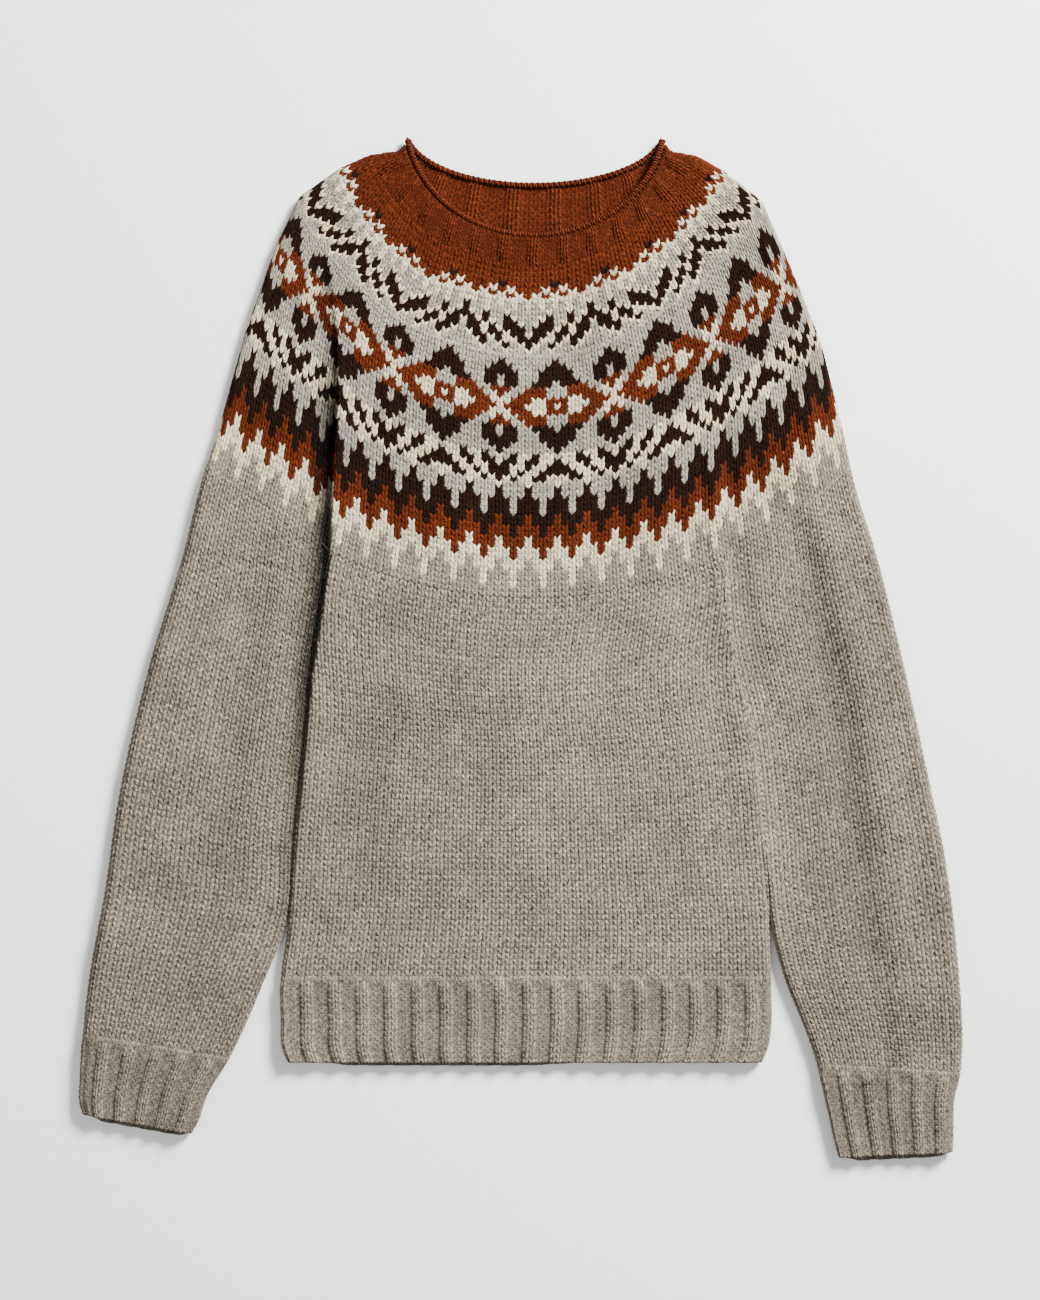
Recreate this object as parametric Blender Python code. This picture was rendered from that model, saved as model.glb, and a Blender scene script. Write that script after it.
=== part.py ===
# Fair isle sweater with a circular yoke, laid flat on its back.
# The panels lie in the XY plane, neck towards +Y, and the outer back rests on Z = 0.
# Every piece is knitted in the round, so each one is a flattened tube with a real wall.

from math import cos, exp, hypot, pi, radians, sin, sqrt

import bpy

# Driving dimensions in millimetres
MM = 0.001
WALL = 3.2            # aran weight stockinette
SEAM_GAP = 0.35       # between pieces that are knitted on to each other
FOLD_HEIGHT = 10.0    # height of the rounded side folds
BODY_HEIGHT = 8.2     # both layers in the middle of the body
SLEEVE_HEIGHT = 8.4
YOKE_HEIGHT = 8.6
NECK_HEIGHT = 10.8    # ribs on the inside of the back neck lift the front a little
LOWEST_TOP = 2 * WALL + 0.4
HIGHEST_TOP = 2 * WALL + 4.0
FOLD_FADE = 24.0      # distance over which a fold's height fades into the panel

RIB_RAISE = 1.9
HEM_RIBS = 18
CUFF_RIBS = 6
NECK_FRONT_RIBS = 13
NECK_BACK_RIBS = 9
RIB_CREST = 0.58      # share of one rib repeat that stands up
RIB_SLOPE = 0.10      # share of one repeat taken by each side of the rib
ROLL_RADIUS = 2.8     # bind-off edge rolled on itself

FOLD_ANGLES = (30.0, 60.0, 90.0)
CURVE_STEPS = 160

# Rings of the yoke and neck, seen from above: one row for each ring, from the neck down.
# Each arc sweeps the given degrees to either side of its centre.
RINGS = {
    #      centre x, front y, back y, left fold, right fold, sweep, height
    "roll":       (9, 312.8, 351.3, (-86.5, 386.0), (106.5, 386.0), 80, NECK_HEIGHT),
    "band_top":   (9, 309.0, 347.3, (-93.0, 378.5), (112.5, 378.5), 80, NECK_HEIGHT),
    "band_mid":   (8, 298.0, 333.0, (-104.0, 378.0), (122.0, 377.5), 72, NECK_HEIGHT),
    "pick_up":    (8, 287.5, 318.0, (-118.0, 374.0), (135.0, 373.0), 62, NECK_HEIGHT - 0.8),
    "cream":      (7, 267.5, 296.0, (-138.0, 365.0), (154.0, 362.0), 50, YOKE_HEIGHT + 0.4),
    "upper":      (8, 228.0, 251.0, (-169.0, 343.0), (182.0, 340.0), 47, YOKE_HEIGHT),
    "lozenges":   (8, 185.5, 204.0, (-187.0, 305.0), (205.0, 287.0), 45, YOKE_HEIGHT),
    "lower":      (8, 126.0, 137.0, (-210.0, 240.0), (227.0, 232.0), 45, YOKE_HEIGHT),
    "teeth":      (8, 67.0, 71.0, (-231.0, 164.0), (243.0, 168.0), 45, YOKE_HEIGHT),
    "join":       (8, 36.5, 36.5, (-240.0, 137.0), (250.0, 134.0), 45, BODY_HEIGHT),
}
YOKE_RINGS = ("pick_up", "cream", "upper", "lozenges", "lower", "teeth", "join")
YOKE_STEPS = 2        # rings between two named rings
PICK_UP_GAP = 0.06    # share of the band's lower half left open above the yoke

# Where the two sides of the body leave the sleeves at the join
UNDERARM_LEFT = -144.0
UNDERARM_RIGHT = 146.0

# Body below the join: y and x of the left fold and of the right fold, dip of the row in the middle
BODY_ROWS = (
    # left y, left x, right y, right x, dip
    (8.0, -158.0, 8.0, 158.0, 24.0),
    (-68.0, -166.0, -68.0, 174.0, 14.0),
    (-144.0, -173.0, -144.0, 182.0, 6.0),
    (-204.0, -177.0, -204.0, 187.0, 2.0),
    (-252.0, -183.0, -252.0, 189.0, 0.0),
)
HEM_ROWS = (
    (-252.0, -183.0, -252.0, 189.0, 0.0),
    (-280.0, -182.5, -280.0, 189.5, 1.0),
    (-303.0, -181.0, -303.0, 186.0, 1.5),
    (-314.5, -176.0, -314.5, 181.0, 0.0),
)

# Sleeves and cuffs: y and x of the fold beside the body, y and x of the outer fold
LEFT_SLEEVE_ROWS = (
    # inner y, inner x, outer y, outer x
    (8.0, -158.0, 68.0, -258.0),
    (-68.0, -166.0, -14.0, -283.0),
    (-144.0, -173.0, -114.0, -306.0),
    (-204.0, -177.0, -185.0, -316.5),
    (-254.0, -196.0, -236.0, -326.0),
    (-313.0, -223.0, -295.0, -333.0),
)
LEFT_CUFF_ROWS = (
    (-313.0, -223.0, -295.0, -333.0),
    (-336.0, -237.0, -322.0, -334.5),
    (-360.0, -246.0, -346.0, -334.0),
    (-368.5, -251.0, -353.5, -331.0),
)
RIGHT_SLEEVE_ROWS = (
    (8.0, 158.0, 74.0, 268.0),
    (-68.0, 174.0, -4.0, 287.5),
    (-144.0, 182.0, -97.0, 308.0),
    (-204.0, 187.0, -166.0, 322.0),
    (-242.0, 196.0, -233.0, 330.0),
    (-319.0, 224.0, -324.0, 331.5),
)
RIGHT_CUFF_ROWS = (
    (-319.0, 224.0, -324.0, 331.5),
    (-345.0, 230.0, -342.0, 327.5),
    (-372.0, 236.0, -368.0, 327.0),
    (-386.5, 240.0, -382.5, 326.0),
)

# Main creases of the front layer: start, end, half width, height (minus is a trough)
CREASES = (
    # start x, start y, end x, end y, half width, height
    ("left underarm fold", -148.0, 60.0, -142.0, 230.0, 8.0, -2.4),
    ("body side of the left fold", -130.0, 50.0, -128.0, 210.0, 10.0, 1.6),
    ("right underarm pleat", 146.0, 64.0, 140.0, 160.0, 7.0, 1.8),
    ("trough beside the right pleat", 160.0, 60.0, 158.0, 170.0, 9.0, -1.4),
    ("right sleeve trough", 216.0, 92.0, 266.0, -190.0, 16.0, -1.5),
    ("right sleeve lower trough", 262.0, -190.0, 285.0, -320.0, 13.0, -1.2),
    ("left sleeve ridge", -226.0, 70.0, -262.0, -180.0, 20.0, 1.0),
    ("body soft ridge", 112.0, 20.0, 150.0, -180.0, 18.0, 0.9),
    ("body soft trough", -96.0, 0.0, -122.0, -200.0, 20.0, -0.9),
)

# Yarn colours: base colour and roughness
YARNS = {
    "grey_wool": ((0.385, 0.350, 0.300, 1.0), 0.95),
    "rust_wool": ((0.300, 0.055, 0.018, 1.0), 0.95),
    "patterned_wool": ((0.300, 0.235, 0.185, 1.0), 0.95),
}


def clearScene():
    for thing in list(bpy.data.objects):
        bpy.data.objects.remove(thing, do_unlink=True)


def woolMaterial(name):
    colour, roughness = YARNS[name]
    material = bpy.data.materials.get(name) or bpy.data.materials.new(name)
    material.use_nodes = True
    shader = material.node_tree.nodes["Principled BSDF"]
    shader.inputs["Base Color"].default_value = colour
    shader.inputs["Roughness"].default_value = roughness
    shader.inputs["Metallic"].default_value = 0.0
    material.diffuse_color = colour
    return material


def mix(a, b, share):
    return a + (b - a) * share


class Row:
    """A line across a panel, seen from above, that can be walked from its left fold."""

    def __init__(self, points):
        self.points = points
        self.reach = [0.0]
        for (ax, ay), (bx, by) in zip(points, points[1:]):
            self.reach.append(self.reach[-1] + hypot(bx - ax, by - ay))
        self.length = self.reach[-1]

    def at(self, distance):
        distance = min(max(distance, 0.0), self.length)
        index = 1
        while index < len(self.reach) - 1 and self.reach[index] < distance:
            index += 1
        before = self.reach[index - 1]
        share = (distance - before) / (self.reach[index] - before)
        (ax, ay), (bx, by) = self.points[index - 1], self.points[index]
        return mix(ax, bx, share), mix(ay, by, share)


def ringPoint(ring, back, turn):
    """Point of a yoke ring at a turn from -1, its left fold, to 1, its right fold."""
    cx, frontY, backY, left, right, sweep, height = ring
    foldX, foldY = left if turn < 0 else right
    centreY = backY if back else frontY
    angle = radians(sweep) * abs(turn)
    across = sin(angle) / sin(radians(sweep))
    drop = (1 - cos(angle)) / (1 - cos(radians(sweep)))
    return mix(cx, foldX, across), mix(centreY, foldY, drop)


def ringRow(ring, back, shiftY=0.0):
    points = []
    for step in range(CURVE_STEPS + 1):
        x, y = ringPoint(ring, back, 2 * step / CURVE_STEPS - 1)
        points.append((x, y + shiftY))
    return Row(points)


def betweenRings(first, second, share):
    """A ring between two rings of the table."""
    blended = []
    for a, b in zip(first, second):
        if isinstance(a, tuple):
            blended.append((mix(a[0], b[0], share), mix(a[1], b[1], share)))
        else:
            blended.append(mix(a, b, share))
    return tuple(blended)


def joinRow(startX, endX, shiftY):
    """The stretch of the join ring between two x places."""
    whole = ringRow(RINGS["join"], False, shiftY).points
    points = [point for point in whole if startX < point[0] < endX]
    return Row([joinPoint(startX, shiftY)] + points + [joinPoint(endX, shiftY)])


def joinPoint(x, shiftY):
    cx, frontY, backY, left, right, sweep, height = RINGS["join"]
    foldX, foldY = left if x < cx else right
    sine = min((x - cx) / (foldX - cx), 1.0) * sin(radians(sweep))
    drop = (1 - sqrt(1 - sine * sine)) / (1 - cos(radians(sweep)))
    return x, mix(frontY, foldY, drop) + shiftY


def straightRow(leftX, leftY, rightX, rightY, dip=0.0):
    points = []
    for step in range(CURVE_STEPS + 1):
        share = step / CURVE_STEPS
        sag = dip * 4 * share * (1 - share)
        points.append((mix(leftX, rightX, share), mix(leftY, rightY, share) - sag))
    return Row(points)


def creaseLift(x, y):
    """Height that the creases add to the front layer at a place."""
    total = 0.0
    for name, ax, ay, bx, by, halfWidth, height in CREASES:
        length = hypot(bx - ax, by - ay)
        along = ((x - ax) * (bx - ax) + (y - ay) * (by - ay)) / length
        beside = ((x - ax) * (by - ay) - (y - ay) * (bx - ax)) / length
        past = max(-along, along - length, 0.0)
        total += height * exp(-(beside / halfWidth) ** 2 - (past / (2 * halfWidth)) ** 2)
    return total


def topHeight(x, y, middle, nearFold):
    """Outer height of the front layer, between its flat lay and the fuller folds."""
    fold = (FOLD_HEIGHT - middle) * exp(-nearFold / FOLD_FADE)
    return min(max(middle + fold + creaseLift(x, y), LOWEST_TOP), HIGHEST_TOP)


def ribPlaces(count):
    """Shares along a row, with the raise of the outer points, for a number of ribs."""
    trough = 1 - RIB_CREST - 2 * RIB_SLOPE
    places = []
    for rib in range(count):
        for share, raised in ((trough / 2, 0.0), (trough / 2 + RIB_SLOPE, 1.0),
                              (1 - trough / 2 - RIB_SLOPE, 1.0), (1 - trough / 2, 0.0)):
            places.append(((rib + share) / count, raised * RIB_RAISE))
    return places


def plainPlaces(count):
    return [((step + 0.5) / count, 0.0) for step in range(count)]


def section(front, back, middle, frontPlaces, backPlaces, ribsInside=False):
    """Outer and inner points of a flattened tube, round from the left fold over the front."""
    radius = FOLD_HEIGHT / 2
    outer, inner = [], []

    def foldPoint(row, fromRight, angle, top):
        rise = 1 if top else -1
        for ring, reach, start in ((outer, radius, 0.0), (inner, radius - WALL, WALL)):
            distance = start + reach * (1 - cos(radians(angle)))
            if fromRight:
                distance = row.length - distance
            x, y = row.at(distance)
            ring.append((x, y, radius + rise * reach * sin(radians(angle))))

    def frontPoint(share, raised):
        distance = mix(radius, front.length - radius, share)
        x, y = front.at(distance)
        nearFold = min(distance, front.length - distance) - radius
        top = topHeight(x, y, middle, nearFold)
        outer.append((x, y, top + raised))
        inner.append((x, y, top - WALL))

    def backPoint(share, raised):
        x, y = back.at(mix(radius, back.length - radius, share))
        outer.append((x, y, 0.0))
        inner.append((x, y, WALL + (raised if ribsInside else 0.0)))

    foldPoint(front, False, 0.0, True)
    for angle in FOLD_ANGLES:
        foldPoint(front, False, angle, True)
    for share, raised in frontPlaces:
        frontPoint(share, raised)
    for angle in reversed(FOLD_ANGLES):
        foldPoint(front, True, angle, True)
    foldPoint(front, True, 0.0, True)
    for angle in FOLD_ANGLES:
        foldPoint(back, True, angle, False)
    for share, raised in reversed(backPlaces):
        backPoint(share, raised)
    for angle in reversed(FOLD_ANGLES):
        foldPoint(back, False, angle, False)
    return outer, inner


def addPiece(name, points, faces, material):
    mesh = bpy.data.meshes.new(name)
    mesh.from_pydata([(x * MM, y * MM, z * MM) for x, y, z in points], [], faces)
    mesh.validate()
    mesh.shade_smooth()
    piece = bpy.data.objects.new(name, mesh)
    bpy.context.scene.collection.objects.link(piece)
    mesh.materials.append(woolMaterial(material))
    mesh.set_sharp_from_angle(angle=radians(50))
    return piece


def tubePiece(name, sections, material):
    """A wall through sections that run from the neck end down to the hem end."""
    around = len(sections[0][0])
    points, faces = [], []
    for outer, inner in sections:
        points += outer + inner

    def corner(ring, side, step):
        return (2 * ring + side) * around + step % around

    last = len(sections) - 1
    for step in range(around):
        for ring in range(last):
            faces.append((corner(ring, 0, step), corner(ring + 1, 0, step),
                          corner(ring + 1, 0, step + 1), corner(ring, 0, step + 1)))
            faces.append((corner(ring, 1, step + 1), corner(ring + 1, 1, step + 1),
                          corner(ring + 1, 1, step), corner(ring, 1, step)))
        faces.append((corner(0, 0, step + 1), corner(0, 1, step + 1),
                      corner(0, 1, step), corner(0, 0, step)))
        faces.append((corner(last, 0, step), corner(last, 1, step),
                      corner(last, 1, step + 1), corner(last, 0, step + 1)))
    return addPiece(name, points, faces, material)


def ringSection(ring, frontPlaces, backPlaces, ribsInside=False):
    front = ringRow(ring, False)
    back = ringRow(ring, True)
    return section(front, back, ring[-1], frontPlaces, backPlaces, ribsInside)


def makeYoke():
    frontPlaces, backPlaces = plainPlaces(36), plainPlaces(24)
    sections = []
    for upper, lower in zip(YOKE_RINGS, YOKE_RINGS[1:]):
        for step in range(YOKE_STEPS):
            ring = betweenRings(RINGS[upper], RINGS[lower], step / YOKE_STEPS)
            sections.append(ringSection(ring, frontPlaces, backPlaces))
    sections.append(ringSection(RINGS["join"], frontPlaces, backPlaces))
    return tubePiece("yoke", sections, "patterned_wool")


def makeNeckband():
    frontPlaces, backPlaces = ribPlaces(NECK_FRONT_RIBS), ribPlaces(NECK_BACK_RIBS)
    sections = []
    for ring in (RINGS["band_top"], RINGS["band_mid"],
                 betweenRings(RINGS["pick_up"], RINGS["band_mid"], PICK_UP_GAP)):
        sections.append(ringSection(ring, frontPlaces, backPlaces, True))
    return tubePiece("neckband", sections, "rust_wool")


def makeNeckRoll():
    """The bound-off edge, one round cord of knitting along the top of the band."""
    ring = RINGS["roll"]
    steps, sides = 44, 8
    frontZ, backZ = NECK_HEIGHT - ROLL_RADIUS + 0.4, ROLL_RADIUS
    path = []
    for step in range(steps):
        turn = -1 + 2 * step / steps
        x, y = ringPoint(ring, False, turn)
        path.append((x, y, mix(frontZ, backZ, 0.5 * abs(turn) ** 16)))
    for step in range(steps):
        turn = 1 - 2 * step / steps
        x, y = ringPoint(ring, True, turn)
        path.append((x, y, mix(backZ, frontZ, 0.5 * abs(turn) ** 16)))
    points, faces = [], []
    count = len(path)
    for step in range(count):
        px, py, pz = path[step - 1]
        nx, ny, nz = path[(step + 1) % count]
        length = hypot(nx - px, ny - py)
        sideX, sideY = (ny - py) / length, -(nx - px) / length
        x, y, z = path[step]
        for side in range(sides):
            angle = 2 * pi * (side + 0.5) / sides
            out = ROLL_RADIUS * cos(angle)
            points.append((x + sideX * out, y + sideY * out, z + ROLL_RADIUS * sin(angle)))
            faces.append(((step + 1) % count * sides + side,
                          (step + 1) % count * sides + (side + 1) % sides,
                          step * sides + (side + 1) % sides, step * sides + side))
    return addPiece("neck_roll", points, faces, "rust_wool")


def makeBody():
    frontPlaces, backPlaces = plainPlaces(28), plainPlaces(16)
    join = joinRow(UNDERARM_LEFT, UNDERARM_RIGHT, -SEAM_GAP)
    sections = [section(join, join, BODY_HEIGHT, frontPlaces, backPlaces)]
    for leftY, leftX, rightY, rightX, dip in BODY_ROWS:
        row = straightRow(leftX, leftY, rightX, rightY, dip)
        sections.append(section(row, row, BODY_HEIGHT, frontPlaces, backPlaces))
    return tubePiece("body", sections, "grey_wool")


def makeHem():
    frontPlaces, backPlaces = ribPlaces(HEM_RIBS), plainPlaces(16)
    sections = []
    for number, (leftY, leftX, rightY, rightX, dip) in enumerate(HEM_ROWS):
        shift = SEAM_GAP if number == 0 else 0.0
        row = straightRow(leftX, leftY - shift, rightX, rightY - shift, dip)
        sections.append(section(row, row, BODY_HEIGHT, frontPlaces, backPlaces))
    return tubePiece("hem_rib", sections, "grey_wool")


def sleeveSections(rows, onLeft, frontPlaces, backPlaces, firstShift=0.0):
    sections = []
    for number, (innerY, innerX, outerY, outerX) in enumerate(rows):
        clear = -SEAM_GAP if onLeft else SEAM_GAP
        shift = firstShift if number == 0 else 0.0
        inner = (innerX + clear, innerY - shift)
        outer = (outerX, outerY - shift)
        left, right = (outer, inner) if onLeft else (inner, outer)
        row = straightRow(left[0], left[1], right[0], right[1])
        sections.append(section(row, row, SLEEVE_HEIGHT, frontPlaces, backPlaces))
    return sections


def makeSleeve(name, rows, onLeft):
    frontPlaces, backPlaces = plainPlaces(12), plainPlaces(8)
    foldLeft, foldRight = RINGS["join"][3][0], RINGS["join"][4][0]
    if onLeft:
        join = joinRow(foldLeft, UNDERARM_LEFT - SEAM_GAP, -SEAM_GAP)
    else:
        join = joinRow(UNDERARM_RIGHT + SEAM_GAP, foldRight, -SEAM_GAP)
    sections = [section(join, join, SLEEVE_HEIGHT, frontPlaces, backPlaces)]
    sections += sleeveSections(rows, onLeft, frontPlaces, backPlaces)
    return tubePiece(name, sections, "grey_wool")


def makeCuff(name, rows, onLeft):
    sections = sleeveSections(rows, onLeft, ribPlaces(CUFF_RIBS), plainPlaces(8), SEAM_GAP)
    return tubePiece(name, sections, "grey_wool")


def standOnOrigin(pieces):
    """Move the pieces together so that the middle of their base is the origin."""
    places = [vertex.co for piece in pieces for vertex in piece.data.vertices]
    middleX = (min(place.x for place in places) + max(place.x for place in places)) / 2
    middleY = (min(place.y for place in places) + max(place.y for place in places)) / 2
    for place in places:
        place.x -= middleX
        place.y -= middleY


clearScene()
makeYoke()
makeNeckband()
makeNeckRoll()
makeBody()
makeHem()
makeSleeve("sleeve_left", LEFT_SLEEVE_ROWS, True)
makeSleeve("sleeve_right", RIGHT_SLEEVE_ROWS, False)
makeCuff("cuff_left", LEFT_CUFF_ROWS, True)
makeCuff("cuff_right", RIGHT_CUFF_ROWS, False)
standOnOrigin([thing for thing in bpy.context.scene.objects if thing.type == "MESH"])
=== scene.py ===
# Fair isle sweater laid flat: knitted cloth over the plain solids of the part.
# Plan places are in millimetres, x across and y towards the neck, before the shift to the origin.

import math

import bpy
import numpy as np
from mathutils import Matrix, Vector


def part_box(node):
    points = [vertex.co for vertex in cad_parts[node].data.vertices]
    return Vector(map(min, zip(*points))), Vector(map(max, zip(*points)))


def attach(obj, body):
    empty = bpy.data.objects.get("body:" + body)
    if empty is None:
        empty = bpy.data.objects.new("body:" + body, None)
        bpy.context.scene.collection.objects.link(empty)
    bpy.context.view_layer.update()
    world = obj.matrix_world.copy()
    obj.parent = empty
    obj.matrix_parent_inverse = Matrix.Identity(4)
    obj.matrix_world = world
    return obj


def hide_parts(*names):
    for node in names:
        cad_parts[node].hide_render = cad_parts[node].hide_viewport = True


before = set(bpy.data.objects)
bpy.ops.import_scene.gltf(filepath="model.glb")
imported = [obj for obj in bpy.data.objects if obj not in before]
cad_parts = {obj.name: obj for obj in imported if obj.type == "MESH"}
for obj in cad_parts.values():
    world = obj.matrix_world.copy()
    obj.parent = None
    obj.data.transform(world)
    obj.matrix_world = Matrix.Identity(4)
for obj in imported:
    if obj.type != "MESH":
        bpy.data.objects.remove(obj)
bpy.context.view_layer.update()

mm = 0.001
rowHeight = 4.18          # one round of stitches, up the garment
yokeStart = 46.0          # front centre y of the yoke's round 0
joinRound = -2            # round where the body and the sleeves meet the yoke
foldRadius = 5.0          # of the side folds
clothWall = 2.3           # yarn thickness of the cloth
stitchRise = 0.7          # rows that each arm of a stitch climbs
stitchSlant = 0.30        # how much steeper the strand lies than its edge
rng = np.random.default_rng(7)

# The solids give the plan its place, by the body's left edge and the right cuff's lower edge
bodyLeft, cuffLow = -183.0, -386.5
shift = np.array([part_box("body")[0].x / mm - bodyLeft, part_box("cuff_right")[0].y / mm - cuffLow])

yarns = {                           # linear colour
    "G": (0.236, 0.203, 0.160),     # grey marl
    "P": (0.292, 0.262, 0.214),     # pale grey
    "C": (0.602, 0.522, 0.360),     # cream
    "R": (0.081, 0.0148, 0.0040),   # rust
    "D": (0.0115, 0.0044, 0.0024),  # dark brown
}

# Rings of the yoke, from the join up
ringRows = np.array([
    # front y, centre x, back y, left fold x, y, right fold x, y, sweep in degrees, height of the front
    (27.5, 8, 27.5, -243.0, 124.0, 253.0, 118.0, 45, 8.2),
    (36.5, 8, 36.5, -240.0, 137.0, 250.0, 134.0, 45, 8.2),
    (67.0, 8, 71.0, -231.0, 164.0, 243.0, 168.0, 45, 8.6),
    (126.0, 8, 137.0, -210.0, 240.0, 227.0, 232.0, 45, 8.6),
    (185.5, 8, 204.0, -187.0, 305.0, 205.0, 287.0, 45, 8.6),
    (228.0, 8, 251.0, -169.0, 343.0, 182.0, 340.0, 47, 8.6),
    (267.5, 7, 296.0, -138.0, 365.0, 154.0, 362.0, 50, 9.0),
    (287.5, 8, 318.0, -118.0, 374.0, 135.0, 373.0, 62, 10.0),
    (298.0, 8, 333.0, -104.0, 378.0, 122.0, 377.5, 72, 10.8),
    (309.0, 9, 347.3, -93.0, 378.5, 112.5, 378.5, 80, 10.8),
    (312.8, 9, 351.3, -86.5, 386.0, 106.5, 386.0, 80, 10.8),
])
neckEdgeY = ringRows[-1, 0]
ringColumns, levelColumns = 161, 81             # plan places across a piece
foldSample = 0.96                               # the way out at a fold is read from here to the fold

# Where the rounds of the yoke's front are pulled up or down
yokePulls = (
    # side, height, shares of the way to the fold, rounds: both rise from 0 to 1, then fall again
    (-1, 8.0, (0.57, 0.66, 0.72, 1.0), (-20, -10, 22, 46)),
    (1, 6.5, (0.22, 0.50, 0.84, 1.0), (10, 28, 36, 52)),
    (-1, -7.5, (0.25, 0.50, 0.84, 1.0), (34, 50, 54, 61)),
)

# Edges of the tubes below the join, from the join down
bodyLevels = (
    # left y, left x, right y, right x, dip
    (8.0, -158.0, 8.0, 158.0, 24.0),
    (-68.0, -166.0, -68.0, 174.0, 14.0),
    (-144.0, -173.0, -144.0, 182.0, 6.0),
    (-204.0, -177.0, -204.0, 187.0, 2.0),
    (-252.0, -183.0, -252.0, 189.0, 0.0),
    (-280.0, -182.5, -280.0, 189.5, 1.0),
    (-303.0, -181.0, -303.0, 186.0, 1.5),
    (-314.5, -176.0, -314.5, 181.0, 0.0),
    (-322.0, -172.0, -322.0, 177.0, 0.0),
)
leftLevels = (
    (68.0, -258.0, 8.0, -158.0, 0.0),
    (-14.0, -283.0, -68.0, -166.0, 0.0),
    (-114.0, -306.0, -144.0, -173.0, 0.0),
    (-185.0, -316.5, -204.0, -177.0, 0.0),
    (-236.0, -326.0, -254.0, -196.0, 0.0),
    (-295.0, -333.0, -313.0, -223.0, 0.0),
    (-322.0, -334.5, -336.0, -237.0, 0.0),
    (-346.0, -334.0, -360.0, -246.0, 0.0),
    (-353.5, -331.0, -368.5, -251.0, 0.0),
    (-361.0, -328.5, -377.0, -256.0, 0.0),
)
rightLevels = (
    (8.0, 158.0, 74.0, 268.0, 0.0),
    (-68.0, 174.0, -4.0, 287.5, 0.0),
    (-144.0, 182.0, -97.0, 308.0, 0.0),
    (-204.0, 187.0, -166.0, 322.0, 0.0),
    (-242.0, 196.0, -233.0, 330.0, 0.0),
    (-319.0, 224.0, -324.0, 331.5, 0.0),
    (-345.0, 230.0, -342.0, 327.5, 0.0),
    (-372.0, 236.0, -368.0, 327.0, 0.0),
    (-386.5, 240.0, -382.5, 326.0, 0.0),
    (-394.0, 242.0, -390.0, 325.0, 0.0),
)

# Creases of the front layer, each along a bent line of places
creases = (
    # x, y, half width towards the left, towards the right, height
    ((-170, 200, 14, 9, 0.8), (-176, 130, 16, 9, 1.4), (-182, 60, 18, 9, 1.0)),
    ((142, 172, 7, 5, 0.8), (144, 120, 8, 4, 2.4), (146, 70, 9, 4, 2.4), (155, 0, 12, 6, 2.2),
     (168, -60, 14, 8, 1.9), (184, -190, 14, 8, 1.3)),
    ((158, 160, 5, 9, -0.9), (160, 120, 5, 10, -2.2), (164, 70, 6, 11, -2.0), (178, 0, 8, 12, -1.4)),
    ((205, 108, 9, 13, -1.8), (220, 60, 10, 13, -3.3), (243, -50, 11, 14, -3.5),
     (260, -190, 11, 13, -2.8), (280, -325, 11, 12, -2.0)),
    ((228, 100, 12, 12, 1.2), (256, -10, 14, 14, 2.0), (280, -130, 13, 13, 1.5), (296, -250, 13, 12, 1.0)),
    ((-226, 72, 20, 22, 1.8), (-250, -60, 20, 22, 2.1), (-268, -190, 18, 20, 1.6)),
    ((-196, 60, 9, 12, -1.4), (-205, -20, 10, 13, -1.7), (-224, -150, 10, 12, -1.2)),
    ((108, 26, 18, 18, 1.4), (132, -80, 20, 18, 1.8), (150, -190, 18, 16, 1.1)),
    ((-92, 4, 20, 20, -1.3), (-112, -90, 20, 22, -1.8), (-124, -205, 18, 20, -1.1)),
    ((20, -40, 30, 34, 1.0), (34, -130, 30, 30, 1.4), (30, -220, 26, 26, 0.8)),
    ((-60, 236, 16, 20, 0.9), (-40, 150, 20, 22, 1.1), (-44, 60, 20, 22, 0.6)),
    ((70, 232, 16, 16, -0.8), (66, 140, 18, 20, -1.1), (74, 50, 18, 20, -0.8)),
)
creaseEndStretch = 2.2    # a crease fades out more slowly past its ends

# Overlapping fold at the left underarm, its lit edge from the neck down
foldLine = np.array([
    # x, y, rise of the body side, drop of the sleeve side, width of the painted shade
    (-148, 308, 0.0, 0.0, 6), (-141, 268, 0.7, -1.0, 9), (-138, 235, 1.3, -2.0, 11),
    (-138, 190, 2.4, -3.3, 13), (-141, 140, 3.0, -4.2, 15), (-143, 95, 3.0, -4.6, 15),
    (-144.5, 62, 2.8, -4.6, 15), (-150.5, 22, 2.2, -4.2, 14), (-157, -20, 1.7, -3.6, 13),
    (-163, -90, 1.2, -2.6, 10), (-172, -180, 0.8, -1.5, 8), (-180, -250, 0.0, 0.0, 5),
])[::-1]

frontLayer = {
    "lowest": 5.1, "highest": 13.0,
    "foldReach": 24,                # how far in from a fold the two layers stay apart
    "foldCrease": 0.5,              # how much of a crease is lost at a fold
    "waveHeight": 0.8, "waveLength": 80, "waveSeed": 3, "waves": 7,
    "foldSlope": 4.5,               # width of the steep side of the overlapping fold
    "foldBodyReach": 17, "foldSleeveReach": 13,
    "hollowDrop": 1.5,              # drop from which the plain inside lies low
}
# Painted shade in the yarn colour: the deep left fold, crease troughs and the outer sleeves
paintedShade = {
    "most": 0.86, "fullDrop": 3.4,              # darkest painted shade, and the fold's drop that it takes
    "litEdge": (-0.5, 2.2), "hold": 0.4, "fade": 0.95,      # across the fold line, in mm and in widths
    # painted shade in crease troughs and a little painted light on their ridges
    "creases": 0.08, "creaseLimits": (0.68, 1.08),
    # painted shade on the outer parts of both sleeves
    "rightSleeveShade": 0.13, "rightFrom": (185, 235), "leftSleeveShade": 0.10, "leftFrom": (180, 230),
    "sleevesBelow": (20, 130),
}


def smoothStep(value, start, end):              # rises softly from 0 to 1
    share = np.clip((value - start) / (end - start), 0, 1)
    return share * share * (3 - 2 * share)


def hill(value, start, top, leave, end):        # rises from 0 to 1 and falls again
    return smoothStep(value, start, top) * (1 - smoothStep(value, leave, end))


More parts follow.
